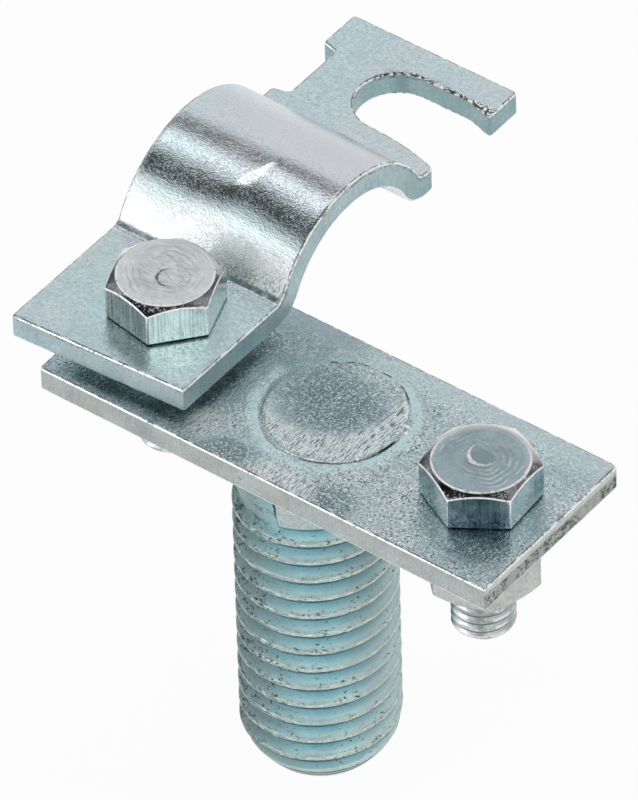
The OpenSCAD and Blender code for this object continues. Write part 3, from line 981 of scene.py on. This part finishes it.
class HOLDER_OT_stud(bpy.types.Operator):
    """Stud with a rolled thread, a plain collar and a bevelled end"""

    bl_idname = "holder.stud"
    bl_label = "Threaded Stud"

    def execute(self, context):
        threads, colours = context.scene.thread_sizes, context.scene.zinc_colours
        radius, bottom = threads.stud_radius, STUD_LOW.z
        pitch, depth = threads.stud_pitch, threads.stud_depth
        runout = -threads.stud_collar
        torn_from, torn_to = math.radians(150), math.radians(280)

        def sunk(level, share, angle):
            """The groove fades out at the collar; before its end the collar's lower
            corner is torn away for part of a turn."""
            turns_down = (runout - level) / pitch
            here = depth * sample(STUD_PROFILE, share) * min(1.0, max(0.0, turns_down / 0.2))
            torn = min(1.0, max(0.0, (angle - torn_from) / 0.5)) * (angle < torn_to)
            shallow = 0.62 * depth
            if 0.0 < turns_down <= 1.0 and torn > 0.0:
                slope = shallow * (1.0 - max(0.0, share - 0.4) / 1.4)
                return here + torn * (min(here, slope) if share < 0.4 else slope) - torn * here
            if -1.0 < turns_down <= 0.0:
                return max(here, torn * shallow * (1.0 - (share + 0.6) / 1.4))
            return here

        def limit(z):
            above = max(0.0, (z - bottom) / threads.bevel_height)
            bulge = 0.35 * MM * math.sin(math.pi * min(1.0, above))
            return threads.end_radius + (radius - threads.end_radius) * above + bulge

        bm = bmesh.new()
        threaded_shaft(bm, radius, pitch, 0.0, bottom, threads.stud_steps, STUD_PROFILE, sunk,
                       limit)
        hollow, lip = bm.verts.layers.float["hollow"], bm.verts.layers.float["lip"]
        for vert in bm.verts:
            torn = torn_from < math.atan2(vert.co.y, vert.co.x) % math.tau < torn_to
            if torn and runout - 0.3 * pitch < vert.co.z:
                vert[hollow] = max(vert[hollow], 0.6 * depth)
            if runout - (1.0 if torn else 0.2) * pitch < vert.co.z:
                vert[lip] = 0.0
        finish_piece("stud_thread", bm, [stud_zinc(colours)], "base",
                     ["threaded_stud"], 50)
        return {"FINISHED"}


class HOLDER_OT_riveted_head(bpy.types.Operator):
    """Tenon of the stud, hammered over in the bar's countersink"""

    bl_idname = "holder.riveted_head"
    bl_label = "Riveted Head"

    def execute(self, context):
        sizes, colours = context.scene.holder_sizes, context.scene.zinc_colours
        top = bar_top(context)
        crown = STUD_HIGH.z - top

        def hammered(share, rise):
            """A ring at a share of the radius and of the crown, uneven near the edge."""

            def ring(angle):
                lean = 0.45 * crown * max(0.0, math.cos(angle)) * (share > 0.6) * (rise > 0)
                ragged = noise.noise(Vector((4 * math.cos(angle), 4 * math.sin(angle), 0.0)))
                wobble = 0.22 * MM * ragged * (share > 0.9)
                level = top + min(1.0, rise + 0.25 * ragged * (rise > 0)) * crown + lean
                return sizes.tenon_radius * share + wobble, min(level, STUD_HIGH.z)

            return ring

        bm = bmesh.new()
        loft(bm, [hammered(share, rise) for share, rise in (
            (0.96, -4.0), (0.985, -0.3), (0.985, 0.0), (0.975, 0.25), (0.95, 0.45), (0.92, 0.45),
            (0.86, 0.20), (0.78, 0.25), (0.6, 0.50), (0.4, 0.68), (0.2, 0.76), (0.08, 0.78),
        )], round_angles(120))
        place(bm, sizes.tenon_x, sizes.tenon_y, 0.0)
        materials = [riveted_zinc("rivet zinc", colours, sizes)]
        finish_piece("riveted_head", bm, materials, "base")
        return {"FINISHED"}


class HOLDER_OT_clamp_strap(bpy.types.Operator):
    """Strap cut flat, then bent into a tab, an arch and a side-open fork"""

    bl_idname = "holder.clamp_strap"
    bl_label = "Clamp Strap"

    def execute(self, context):
        sizes, colours = context.scene.holder_sizes, context.scene.zinc_colours
        mouth = sizes.mouth_edge
        back = STRAP_HIGH.x - STRAP_LOW.x - mouth
        far = STRAP_HIGH.y
        slot = sizes.slot_width / 2
        middle = sizes.slot_middle
        thickness, arch_middle = sizes.strap_thickness, sizes.arch_middle
        half_t = thickness / 2

        # The bend: half angle of the arch, and the lengths along the strap's middle
        arch_centre = sizes.arch_height - sizes.arch_radius
        crease_centre = thickness + sizes.crease_radius
        rise = crease_centre - arch_centre
        reach = math.sqrt((sizes.arch_radius + crease_centre) ** 2 - rise**2)
        half = math.atan2(reach, rise)
        crease, arch = sizes.crease_radius + half_t, sizes.arch_radius + half_t
        crease_len = crease * half
        bend_start = arch_middle - reach
        bend_len = 2 * crease_len + arch * 2 * half
        extra = bend_len - 2 * reach

        def flat(along, aside, radius=0.0, parts=0):
            """A corner on the uncut blank, with its rounding in millimetres and the
            rounding's parts: what lies past the arch moves out."""
            return along + extra * (along > arch_middle), -aside, radius * MM, parts

        def arm(aside):
            """The slot's near edge, which opens up along a gentle curve to the mouth."""
            return middle - slot - aside**2 / (2 * FINGER_CURVE)

        slot_end = 0.999 * slot / MM
        nose_length, nose_width = 3.8 * MM, 1.1 * MM
        notch_from, notch_to = far - 6.3 * MM, far - 16.7 * MM
        notch_depth, notch_lean = 2.3 * MM, 0.5 * MM
        corners = [
            flat(-sizes.tab_end, mouth, 0.3, 2),
            flat(arm(mouth), mouth, 0.6, 3),
            *[flat(arm(mouth * i / 5), mouth * i / 5) for i in (4, 3, 2, 1, 0)],
            flat(middle - slot, -slot, slot_end, 14),
            flat(middle + slot, -slot, slot_end, 14),
            flat(middle + slot, mouth - nose_length),
            flat(middle + slot - nose_width, mouth, 0.4, 2),
            flat(far, mouth, 0.5, 3),
            flat(far, -back, 0.5, 3),
            flat(notch_from, -back, 0.4, 2),
            flat(notch_from - notch_lean, notch_depth - back, 0.5, 3),
            flat(notch_to + notch_lean, notch_depth - back, 0.5, 3),
            flat(notch_to, -back, 0.4, 2),
            flat(STRAP_LOW.y, -back, 0.4, 2),
        ]
        bm = bmesh.new()
        plate_from_outline(bm, corners, [(0.0, 0.0, sizes.hole_radius)], thickness,
                           sizes.rim_radius)
        rim_strip = 0.8 * MM
        slice_along(bm, 0, bend_start, bend_start + bend_len, 0.45 * MM)
        slice_along(bm, 1, rim_strip - mouth, back - rim_strip, 0.6 * MM)
        peel = bm.verts.layers.float.new("peel")
        for vert in bm.verts:
            flat_along, y, level = vert.co
            along = flat_along - bend_start
            opened = math.radians(90) * min(1.0, max(0.0, along / (0.5 * bend_len)))
            vert[peel] = 0.0 if along <= 0.3 * crease_len else math.cos(opened) ** 0.35
            from_crest = 0.5 * bend_len - along
            out = level - half_t - dent_depth(from_crest / MM, y / MM) * MM * (level > half_t)
            side = -1 if from_crest > 0 else 1
            into_bend = min(along, bend_len - along)
            if into_bend <= 0:
                across, z = flat_along - extra * (side > 0), level
            elif into_bend < crease_len:
                turn, radius = into_bend / crease, crease - out
                across = arch_middle + side * (reach - radius * math.sin(turn))
                z = crease_centre - radius * math.cos(turn)
            else:
                turn, radius = (along - crease_len) / arch - half, arch + out
                across = arch_middle + radius * math.sin(turn)
                z = arch_centre + radius * math.cos(turn)
            vert.co = (across, y, z)
        # The mouth edge lies towards -Y on the blank; a quarter turn opens the strap
        bmesh.ops.recalc_face_normals(bm, faces=bm.faces[:])
        place(bm, PIVOT_X, 0.0, STRAP_LOW.z, math.radians(90))
        jagged = (PIVOT_X, middle), 4.0, 3.5, 11.0, 3.2
        materials = [
            strap_zinc(colours, sizes),
            sheared_wall("strap cut", tones(colours, "strap_cut"), 0.86, 1.3, 0.5,
                         shade_from=30 * MM),
            burnished_rim("strap rim", colours.rim, jagged),
        ]
        finish_piece("clamp_strap_formed", bm, materials, "strap",
                     ["clamp_strap"], 40, even=True)
        return {"FINISHED"}


def dent_depth(down, side):
    """A press mark on the arch's outside, in millimetres: down is from the crest towards
    the tab, side is off the strap's middle line towards the back edge."""
    line = 1.25 - 3.0 * (6.2 - down) / 6.5
    past_line = min(1.0, max(0.0, (line - side) / 1.1 + 0.5))
    past_line = past_line * past_line * (3 - 2 * past_line)
    fade = min(1.0, max(0.0, (side + 12.0) / 9.0))
    along = min(1.0, max(0.0, down / 11.5))
    return 0.05 * past_line * fade * math.sin(math.pi * along**1.1)


def bolt_head(bm, hexes):
    """Hexagon head standing on z = 0, with a turned-off top and cold-headed rings."""
    apothem, height = hexes.across_flats / 2, hexes.head_height
    flat, soft = hexes.flat_radius, hexes.edge_rounding

    def side(inset, z, wall=0):
        return lambda angle: (hex_radius(angle, apothem) - inset, z, wall)

    def shoulder(inset, drop, wall=0):
        def ring(angle):
            radius, below, _ = hex_shoulder(hexes, inset, drop)(angle)
            return radius, height - below, wall

        return ring

    rings = [
        side(4.0 * soft, 0.0), side(3.5 * soft, 1.6 * soft, 5), side(1.4 * soft, 1.9 * soft, 5),
        side(0.0, 3.0 * soft),
        shoulder(0.0, soft), shoulder(0.25 * soft, 0.25 * soft, 4),
        shoulder(soft, -soft * END_SLOPE, 4),
        even_ring(flat + 1.3 * soft, height - 1.3 * soft * END_SLOPE, 3),
        even_ring(flat - soft, height, 4), even_ring(flat - 2.4 * soft, height - 0.02 * MM, 1),
    ]
    for radius, sink in ((5.2, 0.05), (4.4, 0.05), (3.0, 0.04), (1.5, 0.03), (0.4, 0.03)):
        rings.append(even_ring(radius * MM, height - sink * MM, 1))
    loft(bm, rings, hex_angles())


def bolt_thread(bm, threads, top, bottom):
    """Thread of a bolt, with its end bevelled."""
    radius = threads.bolt_radius
    bevel = 0.9 * MM

    def limit(z):
        return radius - bevel + max(0.0, z - bottom)

    def sunk(level, share, angle):
        return threads.bolt_depth * sample(BOLT_PROFILE, share)

    threaded_shaft(bm, radius, threads.bolt_pitch, top, bottom, threads.bolt_steps,
                   BOLT_PROFILE, sunk, limit)


def join(bm, other):
    """Adds the second mesh to the first."""
    mesh = bpy.data.meshes.new("part")
    other.to_mesh(mesh)
    other.free()
    bm.from_mesh(mesh)
    bpy.data.meshes.remove(mesh)


# Crescent mark on each bolt's top, how dark its middle is, and how streaked its flats are
BOLT_LOOKS = {
    "pivot": (((0.05, 0.05, 0.05), (0.90, -0.50, 1.62), (1.14, -0.33, 1.58)), 0.0, 0.75),
    "closing": (((0.86, 0.90, 0.91), (-0.20, 0.70, 1.95), (-0.10, 1.12, 1.86)), 0.6, 0.30),
}


class HOLDER_OT_bolts(bpy.types.Operator):
    """Pivot bolt and closing bolt, with hexagon heads and full threads"""

    bl_idname = "holder.bolts"
    bl_label = "Bolts"

    def execute(self, context):
        hexes, threads = context.scene.hex_sizes, context.scene.thread_sizes
        colours = context.scene.zinc_colours
        seam = shaded_seam("head seam")
        thread = bolt_thread_zinc("bolt thread", tones(colours, "thread"))
        for bolt, x, low, high, turn in (
            ("pivot", PIVOT_X, PIVOT_LOW, PIVOT_HIGH, hexes.pivot_turn),
            ("closing", CLOSING_X, CLOSING_LOW, CLOSING_HIGH, hexes.closing_turn),
        ):
            seat = high.z - hexes.head_height
            bm, shaft = bmesh.new(), bmesh.new()
            bm.verts.layers.float.new("hollow")
            bolt_head(bm, hexes)
            place(bm, x, 0.0, seat, turn)
            bolt_thread(shaft, threads, 0.05 * MM, low.z - seat)
            place(shaft, x, 0.0, seat)
            for face in shaft.faces:
                face.material_index = 2
            join(bm, shaft)
            node = f"{bolt}_bolt"
            mark, middle, streaked = BOLT_LOOKS[bolt]
            materials = [
                brushed_hexagon(f"{node} side", tones(colours, f"{bolt}_side"), x, streaked),
                turned_top(f"{node} top", tones(colours, f"{bolt}_top"), x, mark, middle),
                thread,
                pressed_bevel(f"{node} bevel", x),
                highlit_edge(f"{node} edge", x),
                seam,
            ]
            finish_piece(f"{node}_hex", bm, materials, node, [node], 38, even=True)
        return {"FINISHED"}


class HOLDER_OT_nuts(bpy.types.Operator):
    """Hexagon nuts of the two bolts"""

    bl_idname = "holder.nuts"
    bl_label = "Nuts"

    def execute(self, context):
        hexes, threads = context.scene.hex_sizes, context.scene.thread_sizes
        material = plain_zinc("nut zinc", context.scene.zinc_colours, 0.1, 0.15, 0.3)
        flat, soft = hexes.flat_radius, hexes.edge_rounding
        bore, lead_in = threads.bolt_radius + 0.05 * MM, threads.bolt_radius + 0.5 * MM
        lower = [
            even_ring(bore, 0.5 * MM), even_ring(lead_in, 0.0), even_ring(flat - soft, 0.0),
            even_ring(flat + soft, soft * 0.55), hex_shoulder(hexes, 0.3 * soft, 0.2 * soft),
            hex_shoulder(hexes, 0.0, soft),
        ]
        for node, x, z, turn in (
            ("pivot_nut", PIVOT_X, PIVOT_NUT_LOW.z, hexes.pivot_nut_turn),
            ("closing_nut", CLOSING_X, CLOSING_NUT_LOW.z, hexes.closing_nut_turn),
        ):
            bm = bmesh.new()
            turned_ring(bm, lower, hexes.nut_height, hex_angles())
            place(bm, x, 0.0, z, turn)
            finish_piece(f"{node}_hex", bm, [material], node, [node], 38, even=True)
        return {"FINISHED"}


class HOLDER_OT_washer(bpy.types.Operator):
    """Spacer washer between the bar and the strap"""

    bl_idname = "holder.washer"
    bl_label = "Spacer Washer"

    def execute(self, context):
        outer = (WASHER_HIGH.x - WASHER_LOW.x) / 2
        inner = context.scene.holder_sizes.hole_radius
        soft = 0.15 * MM
        lower = [even_ring(inner, soft), even_ring(inner + soft, 0.0),
                 even_ring(outer - soft, 0.0), even_ring(outer, soft)]
        bm = bmesh.new()
        turned_ring(bm, lower, WASHER_HIGH.z - WASHER_LOW.z, round_angles(72))
        place(bm, PIVOT_X, 0.0, WASHER_LOW.z)
        material = plain_zinc("washer zinc", context.scene.zinc_colours, 0.2, 0.2, 0.15)
        finish_piece("spacer_washer_disc", bm, [material], "base",
                     ["spacer_washer"], 38)
        return {"FINISHED"}


class HOLDER_OT_studio(bpy.types.Operator):
    """Camera, world, floor and lamp"""

    bl_idname = "holder.studio"
    bl_label = "Studio"

    def execute(self, context):
        scene, studio = context.scene, context.scene.studio_settings
        self.camera(scene, studio)
        self.world(scene)
        self.floor(scene, studio)
        self.lamp(scene)
        scene.view_settings.view_transform = "Standard"
        return {"FINISHED"}

    def camera(self, scene, studio):
        turn, rise, roll = studio.azimuth, studio.elevation, studio.roll
        right = Vector((math.cos(turn), math.sin(turn), 0.0))
        back = Vector((math.sin(turn) * math.cos(rise), -math.cos(turn) * math.cos(rise),
                       math.sin(rise)))
        up = back.cross(right)
        right, up = (right * math.cos(roll) + up * math.sin(roll),
                     up * math.cos(roll) - right * math.sin(roll))
        middle = Vector(((BAR_LOW.x + BAR_HIGH.x) / 2, 0.0, BAR_HIGH.z))
        data = bpy.data.cameras.new("camera")
        data.sensor_width = 36.0
        data.lens = studio.focal
        data.clip_start, data.clip_end = 0.01, 50.0
        item = bpy.data.objects.new("camera", data)
        scene.collection.objects.link(item)
        spot = middle + back * studio.distance + right * studio.shift_x + up * studio.shift_y
        facing = Matrix((right, up, back)).transposed().to_4x4()
        item.matrix_world = Matrix.Translation(spot) @ facing
        scene.camera = item

    def world(self, scene):
        """Soft patches of light and dark that the zinc mirrors, white to the camera."""
        scene.world = bpy.data.worlds.new("studio")
        scene.world.use_nodes = True
        room = Wiring(scene.world.node_tree)
        room.tree.nodes.clear()
        way = room.node("ShaderNodeTexCoord", "Generated")
        light = ROOM
        for direction, inner, outer, level in ROOM_PATCHES:
            middle = Vector(direction).normalized()
            towards = room.node("ShaderNodeVectorMath", "Value", {0: way, 1: middle},
                                operation="DOT_PRODUCT")
            edges = math.cos(math.radians(outer)), math.cos(math.radians(inner))
            light = towards.ramp(*edges, smooth=True).blend(light, level)
        seen = room.node("ShaderNodeLightPath", "Is Camera Ray").blend(light, (1.0, 1.0, 1.0))
        shine = room.node("ShaderNodeBackground", 0, {"Color": seen, "Strength": 1.0})
        output = room.tree.nodes.new("ShaderNodeOutputWorld")
        room.link(shine, output.inputs[0])

    def floor(self, scene, studio):
        """White to the camera and in mirrors, plain for the light that it sends back."""
        bm = bmesh.new()
        bmesh.ops.create_grid(bm, x_segments=1, y_segments=1, size=6.0)
        place(bm, 0.0, 0.0, STUD_LOW.z - 0.02 * MM)
        mesh = bpy.data.meshes.new("floor")
        bm.to_mesh(mesh)
        bm.free()
        item = bpy.data.objects.new("floor", mesh)
        scene.collection.objects.link(item)
        coat = Coat("floor white")
        coat.link(studio.floor, coat.shader.inputs["Base Color"])
        coat.link(0.9, coat.shader.inputs["Roughness"])
        camera, glossy, clear = (coat.node("ShaderNodeLightPath", f"Is {ray} Ray")
                                 for ray in ("Camera", "Glossy", "Transmission"))
        white = coat.node("ShaderNodeEmission", 0, {"Color": (1, 1, 1), "Strength": 1.0})
        plain = Amount(coat, coat.shader.outputs[0])
        # A little of the plain floor stays, for the faint shadow on it
        share = (camera | glossy | clear) * 0.94
        mix = coat.node("ShaderNodeMixShader", 0, {0: share, 1: plain, 2: white})
        coat.link(mix, coat.tree.nodes["Material Output"].inputs["Surface"])
        mesh.materials.append(coat.material)

    def lamp(self, scene):
        """A soft lamp at the front left, which the camera itself doesn't see."""
        lamp = bpy.data.lights.new("front left", "AREA")
        lamp.shape = "RECTANGLE"
        lamp.size, lamp.size_y = 0.5, 0.25
        lamp.energy = 2.0
        item = bpy.data.objects.new("front left", lamp)
        scene.collection.objects.link(item)
        item.location = (-0.55, -0.85, 0.20)
        item.rotation_euler = (-item.location).to_track_quat("-Z", "Y").to_euler()
        item.visible_camera = False


class HOLDER_PT_panel(bpy.types.Panel):
    """Lists the holder's sizes, colours and pieces"""

    bl_idname = "HOLDER_PT_panel"
    bl_label = "Conductor Holder"
    bl_space_type = "VIEW_3D"
    bl_region_type = "UI"
    bl_category = "Holder"

    def draw(self, context):
        for name in GROUPS:
            group = getattr(context.scene, name)
            box = self.layout.box()
            for key in group.bl_rna.properties.keys():
                if key not in {"rna_type", "name"}:
                    box.prop(group, key)
        for operator in OPERATORS:
            self.layout.operator(operator.bl_idname)


GROUPS = {
    "holder_sizes": HolderSizes,
    "thread_sizes": ThreadSizes,
    "hex_sizes": HexSizes,
    "zinc_colours": ZincColours,
    "studio_settings": StudioSettings,
}
OPERATORS = (
    HOLDER_OT_flat_bar,
    HOLDER_OT_stud,
    HOLDER_OT_riveted_head,
    HOLDER_OT_clamp_strap,
    HOLDER_OT_bolts,
    HOLDER_OT_nuts,
    HOLDER_OT_washer,
    HOLDER_OT_studio,
)


def register():
    for kind in (*GROUPS.values(), *OPERATORS, HOLDER_PT_panel):
        bpy.utils.register_class(kind)
    for name, kind in GROUPS.items():
        setattr(bpy.types.Scene, name, PointerProperty(type=kind))


def unregister():
    for name in GROUPS:
        delattr(bpy.types.Scene, name)
    for kind in (HOLDER_PT_panel, *reversed(OPERATORS), *reversed(GROUPS.values())):
        bpy.utils.unregister_class(kind)


def main():
    register()
    bpy.ops.holder.flat_bar()
    bpy.ops.holder.stud()
    bpy.ops.holder.riveted_head()
    bpy.ops.holder.clamp_strap()
    bpy.ops.holder.bolts()
    bpy.ops.holder.nuts()
    bpy.ops.holder.washer()
    bpy.ops.holder.studio()


if __name__ == "__main__":
    main()
